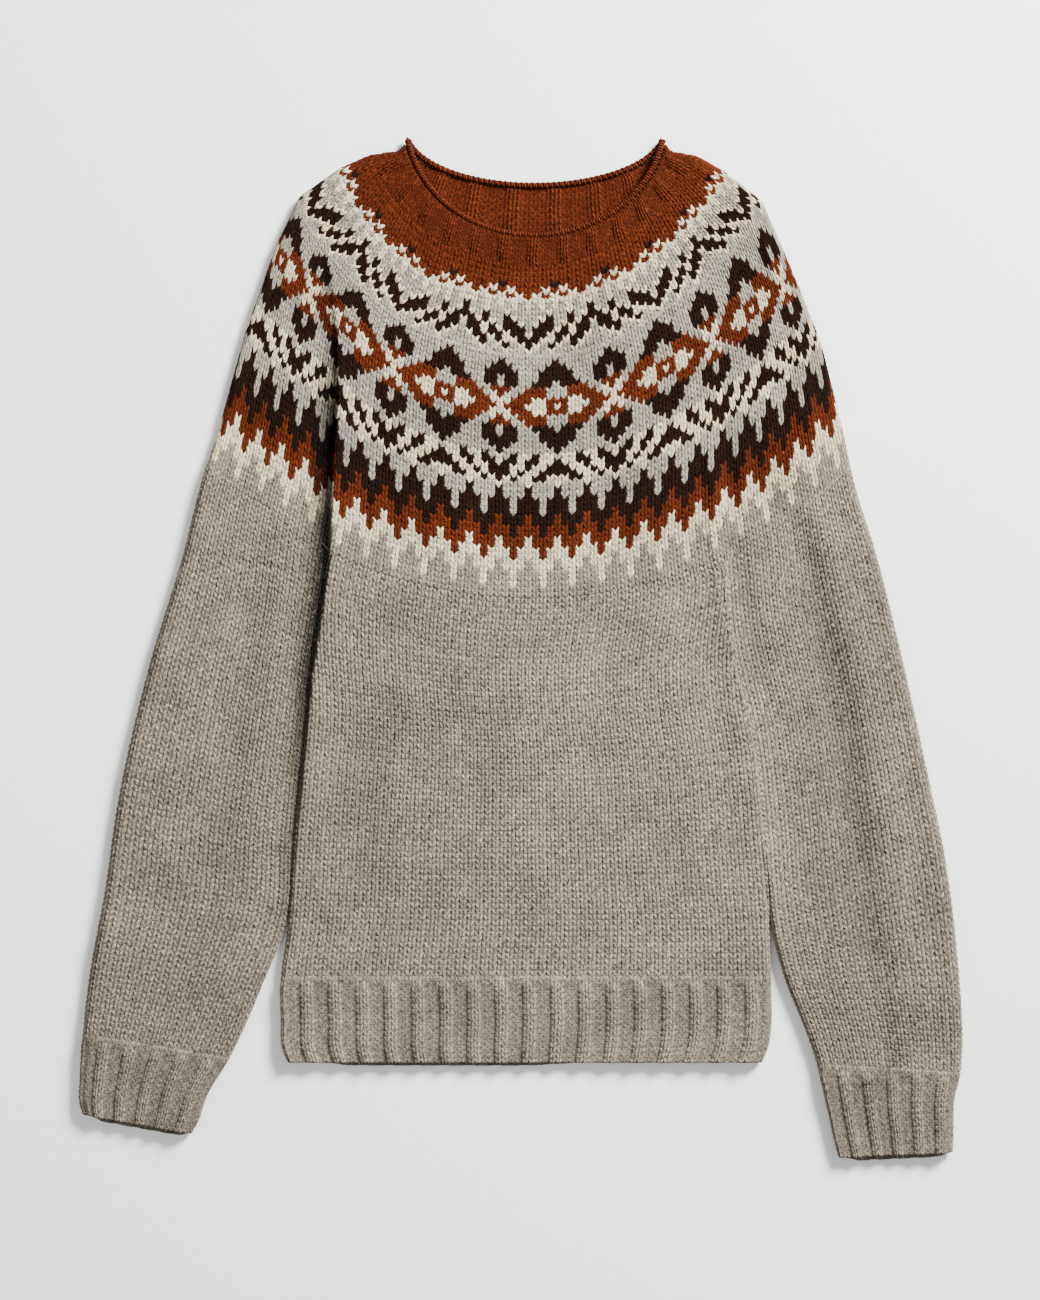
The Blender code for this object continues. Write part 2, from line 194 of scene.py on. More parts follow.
def creaseLift(x, y):     # height that the creases add at each place
    total = np.zeros_like(x)
    for crease in creases:
        best = np.full(x.shape, 1e9)
        lift = np.zeros_like(x)
        last = len(crease) - 2
        for number, (a, b) in enumerate(zip(crease, crease[1:])):
            dx, dy = b[0] - a[0], b[1] - a[1]
            length = math.hypot(dx, dy)
            along = ((x - a[0]) * dx + (y - a[1]) * dy) / length ** 2
            share = np.clip(along, 0, 1)
            offX = x - a[0] - share * dx
            offY = y - a[1] - share * dy
            away = np.hypot(offX, offY)
            beside = (offX * dy - offY * dx) / length
            left = a[2] + (b[2] - a[2]) * share
            right = a[3] + (b[3] - a[3]) * share
            width = np.where(beside * np.sign(-dy) > 0, right, left)
            past = (number == 0) & (along < 0) | (number == last) & (along > 1)
            width = width * np.where(past, creaseEndStretch, 1.0)
            height = a[4] + (b[4] - a[4]) * share
            lift = np.where(away < best, height * np.exp(-(away / width) ** 2), lift)
            best = np.minimum(best, away)
        total += lift
    return total


def foldAt(y, *columns):  # values of the fold line at a height
    return [np.interp(y, foldLine[:, 1], foldLine[:, column]) for column in columns]


def foldStep(x, y):       # the body side of the left fold stands up and the sleeve side drops beside it
    lineX, rise, drop = foldAt(y, 0, 2, 3)
    beside = x - lineX
    slope = frontLayer["foldSlope"]
    share = smoothStep(-beside, 0.0, slope)
    onBody = np.maximum(beside, 0) / frontLayer["foldBodyReach"]
    onSleeve = np.maximum(-beside - slope, 0) / frontLayer["foldSleeveReach"]
    return rise * np.exp(-onBody ** 2) * (1 - share) + drop * share * np.exp(-onSleeve ** 2)


def foldHollow(x, y, start, end):   # 1 in the steep fold, where the coarse inside has to lie low
    lineX, drop = foldAt(y, 0, 3)
    return smoothStep(-drop, 0.0, frontLayer["hollowDrop"]) * (1 - smoothStep(np.abs(x - lineX), start, end))


def foldShade(x, y):      # painted shade in the deep fold, crease troughs and outer sleeves, 1 in the open
    lineX, drop, width = foldAt(y, 0, 3, 4)
    beside = lineX - x
    # painted shade beside the lit edge of the deep left fold
    depth = np.clip(-drop / paintedShade["fullDrop"], 0, 1)
    fade = np.maximum(beside - paintedShade["hold"] * width, 0) / (paintedShade["fade"] * width)
    near = smoothStep(beside, *paintedShade["litEdge"]) * np.exp(-fade ** 2)
    # painted shade on the outer parts of both sleeves
    right = paintedShade["rightSleeveShade"] * smoothStep(x, *paintedShade["rightFrom"])
    left = paintedShade["leftSleeveShade"] * smoothStep(-x, *paintedShade["leftFrom"])
    sleeves = (right + left) * (1 - smoothStep(y, *paintedShade["sleevesBelow"]))
    # painted shade in crease troughs, a little painted light on crease ridges
    troughs = np.clip(1 + paintedShade["creases"] * creaseLift(x, y), *paintedShade["creaseLimits"])
    return (1 - paintedShade["most"] * depth * near) * troughs * (1 - sleeves)


def softWave(x, y, scale, seed):    # a smooth uneven value over the plan
    local = np.random.default_rng(seed)
    total = np.zeros_like(x)
    for wave in range(frontLayer["waves"]):
        angle = local.uniform(0, math.pi)
        length = scale * local.uniform(0.7, 1.8)
        phase = local.uniform(0, 2 * math.pi)
        total += np.sin((x * math.cos(angle) + y * math.sin(angle)) * 2 * math.pi / length + phase)
    return total / 4


def foldOver(turn, reach):
    # A share of the cloth, from the centre to the fold: its place seen from above, its flat part, its bend
    arc = np.abs(turn) * (1 - reach + reach * math.pi / 2)
    bend = np.clip((arc - 1 + reach) / reach, 0, math.pi / 2)
    flat = np.minimum(arc, 1 - reach)
    return np.sign(turn) * (flat + reach * np.sin(bend)), flat, bend


def unfold(seen, reach):  # the reverse of foldOver, from a place seen from above to a share of the cloth
    size = np.abs(seen)
    bend = np.arcsin(np.clip((size - 1 + reach) / reach, 0, 1))
    arc = np.where(size > 1 - reach, 1 - reach + reach * bend, size)
    return np.sign(seen) * arc / (1 - reach + reach * math.pi / 2)


class Panel:
    # Both layers of a flattened tube as tables of plan places.
    # Rows of the tables are rounds of stitches, columns run from the left fold to the right one.

    def __init__(self, rounds, front, back, middle, foldLeft, foldRight):
        self.rounds = np.asarray(rounds, float)
        self.front, self.back = front, back
        self.middle = np.asarray(middle, float)
        self.folds = np.stack([foldLeft, foldRight])
        self.speeds = np.stack([self.endSpeed(0, 1), self.endSpeed(-1, -2)])

    def endSpeed(self, end, inside):
        step = 2 / (self.front.shape[1] - 1)
        return np.hypot(*np.moveaxis(self.front[:, end] - self.front[:, inside], -1, 0)) / step

    def rowAt(self, n):
        row = np.interp(n, self.rounds, np.arange(len(self.rounds)))
        low = np.clip(row.astype(int), 0, len(self.rounds) - 2)
        return low, row - low

    def look(self, table, turn, n):
        column = (np.clip(turn, -1, 1) + 1) / 2 * (table.shape[1] - 1)
        r, rowShare = self.rowAt(n)
        c = np.clip(column.astype(int), 0, table.shape[1] - 2)
        rowShare, columnShare = rowShare[..., None], (column - c)[..., None]
        low = table[r, c] * (1 - columnShare) + table[r, c + 1] * columnShare
        high = table[r + 1, c] * (1 - columnShare) + table[r + 1, c + 1] * columnShare
        return low * (1 - rowShare) + high * rowShare

    def place(self, turn, isBack, n):
        # Places and outward directions of the outer surface, turn is -1 and 1 at the folds
        side = (turn > 0).astype(int)
        low, share = self.rowAt(n)
        fold = self.folds[side, low] * (1 - share) + self.folds[side, low + 1] * share
        speed = self.speeds[side, low] * (1 - share) + self.speeds[side, low + 1] * share
        middle = self.middle[low] * (1 - share) + self.middle[low + 1] * share
        reach = foldRadius * fold / speed
        seen, flat, bend = foldOver(turn, reach)
        places = np.where(isBack[..., None], self.look(self.back, seen, n), self.look(self.front, seen, n))
        facing = np.where(turn < 0, -1.0, 1.0)
        edge = self.look(self.front, facing, n) - self.look(self.front, facing * foldSample, n)
        edge /= np.linalg.norm(edge, axis=-1, keepdims=True)
        fromFold = (1 - reach - flat) * speed
        x, y = places[..., 0], places[..., 1]
        top = middle + (2 * foldRadius - middle) * fold * np.exp(-fromFold / frontLayer["foldReach"])
        top = top + (creaseLift(x, y) + foldStep(x, y)) * (1 - frontLayer["foldCrease"] * np.sin(bend))
        wave = softWave(x, y, frontLayer["waveLength"], frontLayer["waveSeed"])
        top = top + frontLayer["waveHeight"] * wave
        top = np.clip(top, frontLayer["lowest"], frontLayer["highest"])
        z = np.where(isBack, foldRadius * (1 - np.cos(bend)), foldRadius + (top - foldRadius) * np.cos(bend))
        up = np.where(isBack, -np.cos(bend), np.cos(bend))
        out = edge * np.sin(bend)[..., None]
        return np.stack([x, y, z], -1), np.concatenate([out, up[..., None]], -1)


def roundY(n):            # front centre y of a round of the yoke
    return yokeStart + rowHeight * n


def ringValue(y, column):           # a value of the yoke's rings at a front centre y
    return np.interp(y, ringRows[:, 0], ringRows[:, column])


def ringPoints(n, turn, isBack):    # plan places on the yoke's rings, arrays of n and turn of one shape
    front, centreX, back, leftX, leftY, rightX, rightY, sweep = [ringValue(roundY(n), k) for k in range(8)]
    sweep = np.radians(sweep)
    foldX = np.where(turn < 0, leftX, rightX)
    foldY = np.where(turn < 0, leftY, rightY)
    angle = sweep * np.abs(turn)
    across = np.sin(angle) / np.sin(sweep)
    drop = (1 - np.cos(angle)) / (1 - np.cos(sweep))
    centreY = np.where(isBack, back, front)
    places = np.stack([centreX + (foldX - centreX) * across, centreY + (foldY - centreY) * drop], -1)
    for side, height, shares, rounds in yokePulls:
        pull = height * hill(turn * side, *shares) * hill(n, *rounds)
        places[..., 1] += np.where(isBack, 0, pull)
    return places


def ringPanel(rounds, at):          # a piece of the yoke's cone, its rounds laid at these rounds of the yoke
    n, turn = np.meshgrid(at, np.linspace(-1, 1, ringColumns), indexing="ij")
    ones = np.ones(len(rounds))
    front, back = [ringPoints(n, turn, np.full(n.shape, isBack)) for isBack in (False, True)]
    return Panel(rounds, front, back, ringValue(roundY(at), -1), ones, ones)


yokeRows = np.arange(-3, 60.6, 0.5)
yokePanel = ringPanel(yokeRows, yokeRows)


def smoothTable(knots, values, at):     # values between the knots, along a soft curve through them
    slopes = np.gradient(values, knots, axis=0)
    index = np.clip(np.searchsorted(knots, at) - 1, 0, len(knots) - 2)
    span = knots[index + 1] - knots[index]
    t = (at - knots[index]) / span
    t, span = t[:, None, None], span[:, None, None]
    return ((2 * t ** 3 - 3 * t ** 2 + 1) * values[index] + (t ** 3 - 2 * t ** 2 + t) * span * slopes[index]
            + (3 * t ** 2 - 2 * t ** 3) * values[index + 1] + (t ** 3 - t ** 2) * span * slopes[index + 1])


joinShape = {
    "closedFold": 0.04,             # size of a fold that is pressed shut against its neighbour
    "openRounds": 9, "lapRounds": 1.5,          # rounds below the join in which a fold and a lap begin
    "apart": (52, 64),              # rounds where the sleeves leave the body
    "backRounds": 8,                # lowest rounds, in which the back hangs lower than the front
}


def levelPanel(shape):
    # Body or sleeve, down from the join: its rounds are spread over the levels by their length
    upperRounds, lowerRounds = shape["rounds"]
    startTurn, endTurn = shape["turns"]
    shares = np.linspace(0, 1, levelColumns)
    across = 2 * shares - 1
    for side, isInner in zip((-1, 1), shape["innerSides"]):
        if not isInner:
            across = np.where(across * side > 0, unfold(across, shape["outerReach"]), across)
    turns = startTurn + (endTurn - startTurn) * (across + 1) / 2
    curves = []
    for n in (joinRound + 1, joinRound):
        yokeSpeed = np.interp(n, yokePanel.rounds, yokePanel.speeds[int(startTurn + endTurn > 0)])
        seen = foldOver(turns, foldRadius / yokeSpeed)[0]
        curves.append(ringPoints(np.full(levelColumns, float(n)), seen, np.zeros(levelColumns, bool)))
    for leftY, leftX, rightY, rightX, dip in shape["levels"]:
        x = leftX + (rightX - leftX) * shares
        y = leftY + (rightY - leftY) * shares - dip * 4 * shares * (1 - shares)
        curves.append(np.stack([x, y], -1))
    curves = np.array(curves)
    reach = np.concatenate([[0], np.cumsum(np.hypot(*np.diff(curves[:, levelColumns // 2], axis=0).T))])
    reach -= reach[1]
    split, end = reach[shape["splitLevel"] + 2], reach[-2]
    rounds = np.where(reach <= split, -reach / split * upperRounds,
                      -upperRounds - (reach - split) / (end - split) * lowerRounds) + joinRound
    rounds[0] = joinRound + 1
    lastRound = upperRounds + lowerRounds - joinRound
    fine = np.arange(-lastRound - 1, joinRound + 1.01, 0.5)
    front = smoothTable(rounds[::-1], curves[::-1], fine)
    opened = smoothStep(-fine, -joinRound, -joinRound + joinShape["openRounds"])
    begun = smoothStep(-fine, -joinRound, -joinRound + joinShape["lapRounds"])
    apart = smoothStep(-fine, *joinShape["apart"])
    for side, lap in zip((1, -1), shape["laps"]):
        nearEdge = np.clip((1 - 2 * shares) * side, 0, 1) ** 4
        front[..., 0] += lap * (begun * (1 - apart))[:, None] * nearEdge[None]
    folds = []
    for isInner, fold in zip(shape["innerSides"], shape["folds"]):
        joined = joinShape["closedFold"] + (fold - joinShape["closedFold"]) * opened
        folds.append(joined + (1.0 - joined) * apart if isInner else np.full(len(fine), fold))
    back = front.copy()
    droop, *where = shape["backEdge"]
    low = smoothStep(-fine, lastRound - joinShape["backRounds"], lastRound)
    back[..., 1] -= low[:, None] * (droop * hill(shares, *where))[None]
    return Panel(fine, front, back, np.full(len(fine), shape["height"]), *folds)


print("plan of the garment laid out")

# Knitting: a stitch is two arms, fine ones with four columns of points and coarse ones with two
roundSteps = np.array([0.0, 0.3, 0.72])         # rows of points in each round, and how high they lie
roundHeights = np.array([0.10, 1.0, 0.90])
stitchShape = {
    "armSpots": [0, 0.25, 0.5, 0.75, 1],        # across one arm, from the centre of the stitch to its edge
    "armHeights": [0.18, 0.85, 1.0, 0.88, 0.05],
    "coarseArm": 0.62, "groove": 0.45,          # height of a coarse stitch, and between two strands
    "purlLow": 0.35, "purlRise": 0.30,          # the bumps between the ribs
    "wander": 0.05, "uneven": 0.06,             # how far a stitch strays, and how uneven its height is
    "ribFlatness": 0.38,                        # less makes the ribs flatter on top
    "ribEnd": 0.05,                             # how much of a rib is left at its end
    "ribFirst": (0.9, 2.2), "ribLast": (0.0, 2.0),          # rounds in which ribs grow below and above
    "edge": (0.55, 0.7, 0.9),                   # lowest rows of points at a bound-off edge
    "insideKnit": (0.9, 0.8), "insideGroove": 0.35, "insidePurl": 0.7,  # the inside, where it is fine
}
insideRows, insideStride = 5, 2                 # rounds and columns to one face of the plain inside
insideHollow = {"floor": 2.7, "start": 15, "end": 24}
rimShade = {"most": 0.88, "start": 4, "end": 9}  # painted shade on the open edge inside the left fold
shadeCount = 8191                               # shades that a tube's stitches take by turns
shadeSteps = np.array([977, 131])               # from a column to the next, and from a round to the next
troughOffset = 0.12                             # columns that the painted shade of a trough is moved
shadeFloor = 0.8                                # height above which the painted fold shade darkens the yarn


def armHeight(s):
    return np.interp(s, stitchShape["armSpots"], stitchShape["armHeights"])


def strandHeight(s, t):   # along a column of stitches: 1 on each strand and 0 in the groove between two
    away = (t - stitchSlant * (s - 0.5)) % 1.0 - 0.5
    return np.cos(math.pi * away)


def ribDome(columns, repeat, knit):             # 1 on the crest of a rib and 0 between ribs
    along = columns % repeat
    inside = np.clip(along / knit, 0, 1)
    return np.where(along < knit, np.sin(math.pi * inside) ** stitchShape["ribFlatness"], 0.0)


def ribGrowth(distance, start, end):
    return stitchShape["ribEnd"] + (1 - stitchShape["ribEnd"]) * smoothStep(distance, start, end)


def skinFaces(columns, rounds, wrapColumn, order):
    # Faces of one skin of a tube, and the stitch coordinates of their corners
    index = np.arange(rounds.size).reshape(rounds.shape)
    nextColumns = np.append(columns[1:], wrapColumn)
    columns, nextColumns = [np.broadcast_to(row, rounds.shape) for row in (columns, nextColumns)]
    here, beside = [columns, rounds, index], [nextColumns, np.roll(rounds, -1, 1), np.roll(index, -1, 1)]
    corners = [np.stack(value, -1) for value in ([v[:-1] for v in here], [v[:-1] for v in beside],
                                                 [v[1:] for v in beside], [v[1:] for v in here])]
    corners = np.stack([corners[k] for k in order], 2).reshape(-1, 4, 3)
    return corners[..., 2].astype(int), corners[..., :2]


def stitchNet(spec):      # columns and rounds of the points that make the stitches
    firstColumn, count = spec["columns"]
    firstRound, lastRound = spec["rounds"]
    across, owners = [], []
    for column in range(firstColumn, firstColumn + count):
        for step in (-0.5, -0.25, 0.0, 0.25) if spec["detail"](column) else (-0.5, 0.0):
            across.append(column + step)
            owners.append(column)
    across, owners = np.array(across), np.array(owners)
    rows = lastRound - firstRound
    up = np.append((np.arange(rows)[:, None] + roundSteps[None]).ravel(), rows) + firstRound
    fromCentre = np.abs(across - owners) * 2
    return {"across": across, "owners": owners, "up": up, "fromCentre": fromCentre,
            "rounds": up[:, None] + stitchRise * fromCentre[None],
            "along": np.append(np.tile(roundSteps, rows), 0.0)[:, None],
            "heights": np.append(np.tile(roundHeights, rows), roundHeights[0]),
            "wrapColumn": firstColumn + count - 0.5}


def outerSkin(spec, net):
    up, fromCentre, owners = net["up"], net["fromCentre"], net["owners"]
    firstRound, lastRound = spec["rounds"]
    columns = np.tile(net["across"], (len(up), 1))
    rounds = net["rounds"].copy()
    if spec.get("boundOff"):                    # the last stitches close in an even edge
        lowest, second, third = stitchShape["edge"]
        rounds[0] = firstRound + lowest
        rounds[1] = np.maximum(rounds[1], firstRound + second)
        rounds[2] = np.maximum(rounds[2], firstRound + third)
    columnStray = rng.normal(0, stitchShape["wander"], rounds.shape)
    roundStray = rng.normal(0, stitchShape["wander"], rounds.shape)
    for stray in (columnStray, roundStray):
        stray[0] = stray[-1] = 0
    turn, isBack = spec["turnOf"](columns + columnStray, rounds)
    places, out = spec["panel"].place(turn, isBack, rounds + roundStray)
    coarse = np.array([not spec["detail"](owner) for owner in owners])
    arm = np.where(coarse, stitchShape["coarseArm"], armHeight(fromCentre))
    strand = strandHeight(fromCentre[None], net["along"])
    knit = arm[None] * (stitchShape["groove"] + (1 - stitchShape["groove"]) * strand)
    base = np.zeros(rounds.shape)
    if "ribs" in spec:
        dome = spec["ribs"](columns)
        purl = stitchShape["purlLow"] + stitchShape["purlRise"] * np.abs(np.sin(math.pi * rounds))
        front = np.where(isBack, 0, np.clip(out[..., 2], 0, 1)) * spec["ribRaise"]
        grown = ribGrowth(lastRound - up, *stitchShape["ribFirst"])[:, None]
        if "risesFrom" in spec:
            grown = grown * ribGrowth(up - spec["risesFrom"], *stitchShape["ribLast"])[:, None]
        base = (front - (1 - dome) * spec["ribDepth"]) * grown
        knit = knit * dome + purl * (1 - dome)
    knit = knit * (1 + rng.normal(0, stitchShape["uneven"], knit.shape))
    base = base - spec["sink"](up)[:, None]
    verts = (places + out * (base - spec["relief"] * (1 - knit))[..., None]).reshape(-1, 3)
    faces, uvs = skinFaces(net["across"], net["rounds"], net["wrapColumn"], (0, 1, 2, 3))
    rows = len(up) - 1
    cells = np.stack([np.tile(owners, rows), np.repeat(firstRound + np.arange(rows) // 3, len(owners))], -1)
    return {"verts": verts, "faces": faces, "uvs": uvs, "cells": cells, "high": len(up), "wide": len(owners)}


def innerSkin(spec, net):           # as fine as the outside where it shows, and plain elsewhere
    if spec.get("insideDetail"):
        edges, rounds = net["across"], net["rounds"]
        starts = np.arange(len(edges))
    else:
        firstColumn, count = spec["columns"]
        up = net["up"]
        edges = np.arange(firstColumn, firstColumn + count, insideStride) - 0.5
        starts = np.searchsorted(net["across"], edges)
        levels = np.linspace(up[0], up[-1], max(2, int((up[-1] - up[0]) / insideRows) + 1))
        rounds = np.tile(levels[:, None] + stitchRise, (1, len(edges)))
    columns = np.tile(edges, (len(rounds), 1))
    turn, isBack = spec["turnOf"](columns, rounds)
    places, out = spec["panel"].place(turn, isBack, rounds)
    inward = np.full(rounds.shape, -clothWall)
    if spec.get("insideDetail"):
        dome = spec["ribs"](columns)
        least, rise = stitchShape["insideKnit"]
        groove = stitchShape["insideGroove"]
        lift = armHeight(net["fromCentre"])[None] * (groove + (1 - groove) * net["heights"][:, None])
        purl = stitchShape["insidePurl"] * np.abs(np.sin(math.pi * rounds))
        inward = inward - dome * (least + rise * lift) - (1 - dome) * purl
    verts = places + out * inward[..., None]
    if not spec.get("insideDetail"):
        hollow = foldHollow(places[..., 0], places[..., 1], insideHollow["start"], insideHollow["end"])
        verts[..., 2] -= np.where(isBack, 0, hollow) * np.maximum(verts[..., 2] - insideHollow["floor"], 0)
    faces, uvs = skinFaces(edges, rounds, net["wrapColumn"], (1, 0, 3, 2))
    middles = np.floor((rounds[:-1] + rounds[1:]) / 2)
    cells = np.stack([np.tile(np.round(edges), len(middles)), middles.ravel()], -1)
    return {"verts": verts.reshape(-1, 3), "faces": faces, "uvs": uvs, "cells": cells,
            "high": len(rounds), "wide": len(edges), "starts": np.append(starts, len(net["across"]))}


def rimTriangles(outer, inner):     # closes both open ends of the tube between its two skins
    faces = []
    wide, innerWide, base = outer["wide"], inner["wide"], len(outer["verts"])
    for atTop, outerRow, innerRow in ((False, 0, 0), (True, outer["high"] - 1, inner["high"] - 1)):
        start = outerRow * wide
        innerStart = base + innerRow * innerWide
        for slot in range(innerWide):
            first, last = inner["starts"][slot], inner["starts"][slot + 1]
            me, after = innerStart + slot, innerStart + (slot + 1) % innerWide
            for index in range(first, last):
                one, two = start + index, start + (index + 1) % wide
                faces.append((one, two, me) if atTop else (two, one, me))
            tail = start + last % wide
            faces.append((me, tail, after) if atTop else (tail, me, after))
    return np.array(faces)


def tubeColours(spec, spots, uvs, cells, sizes, outside, inside):
    # Yarn colour of each corner times painted shade, with 1 in alpha for knit stitches and 0 for purl
    # Corners up to outside belong to the outer skin, from there to inside to the inner one, then the rims
    colours = spec["colourOf"](cells[:, 0], cells[:, 1])
    shades = rng.normal(1.0, spec["shade"], shadeCount)[(cells @ shadeSteps).astype(int) % shadeCount]
    colours = np.clip(colours * shades[:, None], 0, 1)
    # painted shade in the troughs between the ribs
    if "ribs" in spec:
        trough = 1 - spec["ribs"](uvs[np.cumsum(sizes) - sizes, 0] + troughOffset)
        colours = colours * (1 - spec["troughShade"] * trough)[:, None]
    # painted shade of the deep fold, crease troughs and sleeves, on cloth above the floor
    dark = np.where(spots[:, 2] > shadeFloor, foldShade(spots[:, 0], spots[:, 1]), 1)
    # painted shade on the rims inside the left fold
    hollow = foldHollow(spots[inside:, 0], spots[inside:, 1], rimShade["start"], rimShade["end"])
    dark[inside:] = np.minimum(dark[inside:], 1 - rimShade["most"] * hollow)
    rgba = np.ones((len(uvs), 4))
    rgba[:, :3] = np.repeat(colours, sizes, axis=0) * dark[:, None]
    if "ribs" in spec:
        rgba[:, 3] = spec["ribs"](uvs[:, 0]) > 0.1
    if not spec.get("insideDetail"):
        rgba[outside:inside, 3] = 1 - rgba[outside:inside, 3]
    return rgba


def clothMesh(name, verts, faces, uvs, rgba):
    verts = verts.copy()
    verts[:, :2] += shift
    mesh = bpy.data.meshes.new(name)
    mesh.from_pydata([tuple(v) for v in verts * mm], [], faces)
    mesh.uv_layers.new(name="stitches")
    mesh.uv_layers["stitches"].data.foreach_set("uv", uvs.ravel())
    # the colour attribute holds the yarn colour times the painted shade
    mesh.color_attributes.new("yarnAndShade", "FLOAT_COLOR", "CORNER").data.foreach_set("color", rgba.ravel())
    return mesh


def knitTube(spec):
    # A closed tube of stitches. spec has: name, panel, columns (first number and count), first and last
    # round, turnOf (column, round -> turn and whether it is on the back), detail (column -> fine or not),
    # colourOf (columns, rounds -> colours), shade, sink (round -> depth) and relief, and may have ribs
    # (column -> height), with ribDepth, ribRaise, troughShade and risesFrom, insideDetail and boundOff
    net = stitchNet(spec)
    outer = outerSkin(spec, net)
    inner = innerSkin(spec, net)
    rims = rimTriangles(outer, inner)
    verts = np.concatenate([outer["verts"], inner["verts"]])
    quads = np.concatenate([outer["faces"], inner["faces"] + len(outer["verts"])])
    rimCells = np.zeros((len(rims), 2))
    rimCells[:, 1] = np.repeat([spec["rounds"][0], spec["rounds"][1] - 1], len(rims) // 2)
    cells = np.concatenate([outer["cells"], inner["cells"], rimCells])
    rimUvs = np.tile([0.25, 0.85], (rims.size, 1))      # all of the rim takes the tone of one spot
    uvs = np.concatenate([outer["uvs"].reshape(-1, 2), inner["uvs"].reshape(-1, 2), rimUvs])
    sizes = np.repeat([4, 3], [len(quads), len(rims)])
    spots = verts[np.concatenate([quads.ravel(), rims.ravel()])]
    rgba = tubeColours(spec, spots, uvs, cells, sizes, outer["faces"].size, quads.size)
    mesh = clothMesh(spec["name"], verts, quads.tolist() + rims.tolist(), uvs, rgba)
    mesh.polygons.foreach_set("use_smooth", sizes == 4)
    return mesh


# Looks
class Sock:
    # A shader value, with sums worked out by maths nodes

    def __init__(self, book, socket):
        self.book, self.socket = book, socket

    def sum(self, operation, other=None, flip=False):
        values = [other, self] if flip else [self, other]
        inputs = {number: value for number, value in enumerate(values) if value is not None}
        return self.book.add("ShaderNodeMath", {"operation": operation}, inputs)

    def __add__(self, other):
        return self.sum("ADD", other)

    def __radd__(self, other):
        return self.sum("ADD", other, flip=True)

    def __sub__(self, other):
        return self.sum("SUBTRACT", other)

    def __rsub__(self, other):
        return self.sum("SUBTRACT", other, flip=True)

    def __mul__(self, other):
        return self.sum("MULTIPLY", other)

    def __rmul__(self, other):
        return self.sum("MULTIPLY", other, flip=True)

    def call(self, operation, other=None):
        return self.sum(operation, other)

    def part(self, output):         # another output of the same node
        return Sock(self.book, self.socket.node.outputs[output])


class Book:
    # One material's nodes

    def __init__(self, name):
        self.material = bpy.data.materials.get(name) or bpy.data.materials.new(name)
        self.material.use_nodes = True
        self.tree = self.material.node_tree
        self.shader = self.tree.nodes["Principled BSDF"]

    def add(self, kind, settings=None, inputs=None, output=0):
        node = self.tree.nodes.new(kind)
        for key, value in (settings or {}).items():
            setattr(node, key, value)
        for key, value in (inputs or {}).items():
            self.plug(value, node.inputs[key])
        return Sock(self, node.outputs[output])

    def plug(self, value, socket):
        if isinstance(value, Sock):
            self.tree.links.new(value.socket, socket)
        else:
            socket.default_value = value

    def noise(self, place, scale, detail=2.0, roughness=0.5):
        return self.add("ShaderNodeTexNoise", inputs={"Vector": place, "Scale": scale, "Detail": detail,
                                                      "Roughness": roughness})


wool = {
    "fuzzScale": 900.0, "tuftScale": 1.7,       # single hairs, and tufts in each stitch
    "cloudScale": 28.0, "cloud": 0.95,          # broad uneven dye
    "beadPower": 0.7, "bead": 0.7,              # the strands along a column of stitches
    "loopSlant": 0.8, "loopRise": 0.5, "loopLow": 0.42, "loopRidge": 0.4,       # purl stitches
    "plyAlong": 2.4, "plyAcross": 1.6, "plyHeight": 0.10, "fuzzHeight": 0.5,
    "warmSlope": 9, "bump": 0.6, "bumpDepth": 0.0009,
    "roughness": 0.92, "specular": 0.04, "sheen": 0.01, "sheenRoughness": 0.6,
}


